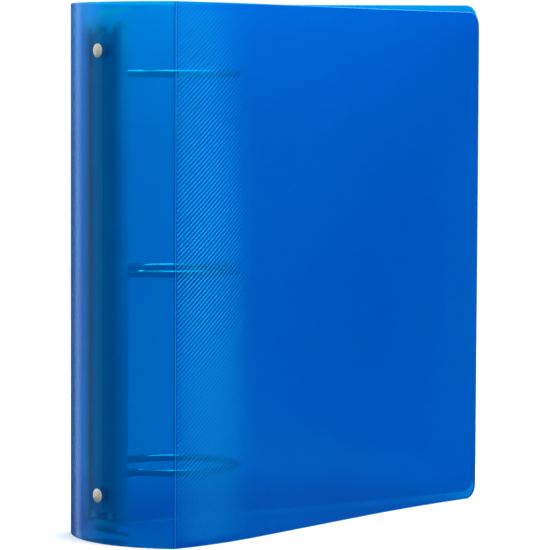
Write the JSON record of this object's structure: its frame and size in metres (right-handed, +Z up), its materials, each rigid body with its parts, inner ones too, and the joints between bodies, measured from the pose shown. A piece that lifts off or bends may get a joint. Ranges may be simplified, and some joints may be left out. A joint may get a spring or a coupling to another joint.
{
  "type": "ring binder",
  "caption": "Translucent plastic ring binder with a rounded spine, living-hinge covers, and a riveted ring mechanism opened by end triggers.",
  "frame": {"origin": "centre of the bottom of the whole box: the binder stands on its bottom edge", "axes": "+Z up along the spine, +Y from the spine to the fore-edge, +X towards the front cover"},
  "size_m": [0.0902, 0.2888, 0.2921],
  "materials": {
    "cover_sheet": "glossy translucent polypropylene with a fine diagonal emboss",
    "hinge_web": "stretched translucent polypropylene",
    "housing_steel": "nickel-plated pressed steel, satin",
    "plate_steel": "bare spring steel",
    "lever_steel": "nickel-plated steel, polished",
    "pin_steel": "drawn steel",
    "rivet_nickel": "nickel plated, polished dome",
    "post_steel": "turned steel sleeve",
    "ring_nickel": "nickel-plated round wire"
  },
  "bodies": {
    "case": {"spine_panel": "cover_sheet", "ring_housing": "housing_steel", "front_living_hinge": "hinge_web", "back_living_hinge": "hinge_web", "top_lever_pin": "pin_steel", "bottom_lever_pin": "pin_steel", "top_rivet": "rivet_nickel", "bottom_rivet": "rivet_nickel", "top_rivet_post": "post_steel", "bottom_rivet_post": "post_steel"},
    "front_cover_side": {"front_cover": "cover_sheet"},
    "back_cover_side": {"back_cover": "cover_sheet"},
    "front_rings": {"front_hinge_plate": "plate_steel", "front_half_ring_top": "ring_nickel", "front_half_ring_middle": "ring_nickel", "front_half_ring_bottom": "ring_nickel"},
    "back_rings": {"back_hinge_plate": "plate_steel", "back_half_ring_top": "ring_nickel", "back_half_ring_middle": "ring_nickel", "back_half_ring_bottom": "ring_nickel"},
    "top_lever": {"top_trigger_lever": "lever_steel"},
    "bottom_lever": {"bottom_trigger_lever": "lever_steel"}
  },
  "joints": [
    {"name": "front_cover_hinge", "type": "hinge", "parent": "case", "child": "front_cover_side", "pos_m": [0.04405, -0.12561, 0.14605], "axis": [0, 0, -1], "range_deg": [0, 180]},
    {"name": "back_cover_hinge", "type": "hinge", "parent": "case", "child": "back_cover_side", "pos_m": [-0.04405, -0.12561, 0.14605], "axis": [0, 0, 1], "range_deg": [0, 180]},
    {"name": "front_ring_hinge", "type": "hinge", "parent": "case", "child": "front_rings", "pos_m": [0.013, -0.13718, 0.14605], "axis": [0, 0, -1], "range_deg": [0, 6.4]},
    {"name": "back_ring_hinge", "type": "hinge", "parent": "case", "child": "back_rings", "pos_m": [-0.013, -0.13718, 0.14605], "axis": [0, 0, 1], "range_deg": [0, 6.4]},
    {"name": "top_lever_hinge", "type": "hinge", "parent": "case", "child": "top_lever", "pos_m": [0, -0.13718, 0.2782], "axis": [1, 0, 0], "range_deg": [0, 16]},
    {"name": "bottom_lever_hinge", "type": "hinge", "parent": "case", "child": "bottom_lever", "pos_m": [0, -0.13718, 0.0139], "axis": [-1, 0, 0], "range_deg": [0, 16]}
  ],
  "couplings": [
    {"joint": "back_ring_hinge", "follows": "front_ring_hinge", "ratio": 1},
    {"joint": "top_lever_hinge", "follows": "front_ring_hinge", "ratio": 2.5},
    {"joint": "bottom_lever_hinge", "follows": "front_ring_hinge", "ratio": 2.5}
  ]
}
